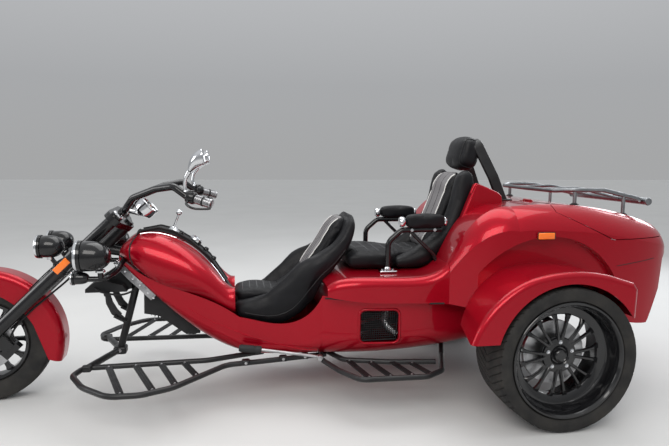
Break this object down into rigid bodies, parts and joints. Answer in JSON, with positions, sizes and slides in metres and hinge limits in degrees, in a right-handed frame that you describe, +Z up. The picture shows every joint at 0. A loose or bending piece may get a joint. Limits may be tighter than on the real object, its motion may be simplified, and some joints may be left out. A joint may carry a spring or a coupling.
{
  "type": "motorized trike",
  "caption": "Three-wheeled motor trike with raked fork, sunk rider seat, raised passenger seat, lidded trunk with rack, and open footboards.",
  "frame": {"origin": "on the ground under the middle of the machine's length and width", "axes": "+X forward to the front wheel, +Y to the rider's left, +Z up"},
  "size_m": [3.9999, 1.7762, 1.4273],
  "materials": {
    "black_frame": "satin black powder coat",
    "red_paint": "candy red metallic with clear coat",
    "black_trim": "fine-grained black moulding",
    "black_leather": "black seat leather with stitched seams",
    "grip_silver": "polished aluminium and black switch housings",
    "chrome": "polished chrome",
    "rack_grey": "satin grey",
    "lamp_black": "gloss black shells with chrome rims",
    "tyre_rubber": "dark rubber with road tread",
    "rim_black": "gloss black",
    "engine_metal": "cast aluminium",
    "steel": "brushed steel",
    "lamp_red": "red and amber lenses",
    "plate_black": "satin black, blank"
  },
  "bodies": {
    "chassis": {"frame": "black_frame", "main_body": "red_paint", "front_cowl": "red_paint", "console_strip": "black_trim", "seat_deck": "red_paint", "tail_body": "red_paint", "mudguard_left": "red_paint", "mudguard_right": "red_paint", "rider_seat": "black_leather", "passenger_seat": "black_leather", "passenger_backrest": "black_leather", "headrest": "black_leather", "roll_bar": "black_frame", "armrest_pads": "black_leather", "armrest_frames": "black_frame", "rider_footboards": "black_frame", "passenger_footboards": "black_frame", "front_crossbeam": "black_frame", "radiator": "black_trim", "pedals": "black_frame", "gear_lever": "chrome", "brake_lever": "steel", "frame_lamps": "lamp_black", "engine_block": "engine_metal", "rear_axle": "steel", "trailing_arms": "black_frame", "dampers": "steel", "exhaust": "steel", "tail_lamps": "lamp_red", "plate_holder": "plate_black"},
    "trunk_lid": {"trunk_lid": "red_paint", "luggage_rack": "rack_grey"},
    "steering": {"fork": "black_frame", "front_fender": "red_paint", "handlebar": "black_frame", "hand_controls": "grip_silver", "mirrors": "chrome", "instrument": "chrome", "fork_lamps": "lamp_black"},
    "front_wheel": {"front_tyre": "tyre_rubber", "front_rim": "rim_black"},
    "rear_wheel_left": {"rear_tyre_left": "tyre_rubber", "rear_rim_left": "rim_black"},
    "rear_wheel_right": {"rear_tyre_right": "tyre_rubber", "rear_rim_right": "rim_black"}
  },
  "joints": [
    {"name": "steer", "type": "hinge", "parent": "chassis", "child": "steering", "pos_m": [1.06285, 0, 0.83257], "axis": [-0.7193, 0, 0.6947], "range_deg": [-30, 30]},
    {"name": "front_wheel_spin", "type": "hinge", "parent": "steering", "child": "front_wheel", "pos_m": [1.68, 0, 0.32], "axis": [0, 1, 0], "continuous": true},
    {"name": "rear_wheel_left_spin", "type": "hinge", "parent": "chassis", "child": "rear_wheel_left", "pos_m": [-1.17, 0.743, 0.355], "axis": [0, 1, 0], "continuous": true},
    {"name": "rear_wheel_right_spin", "type": "hinge", "parent": "chassis", "child": "rear_wheel_right", "pos_m": [-1.17, -0.743, 0.355], "axis": [0, 1, 0], "continuous": true},
    {"name": "trunk_lid_open", "type": "hinge", "parent": "chassis", "child": "trunk_lid", "pos_m": [-1.265, 0, 1.07], "axis": [0, 1, 0], "range_deg": [0, 55]}
  ]
}
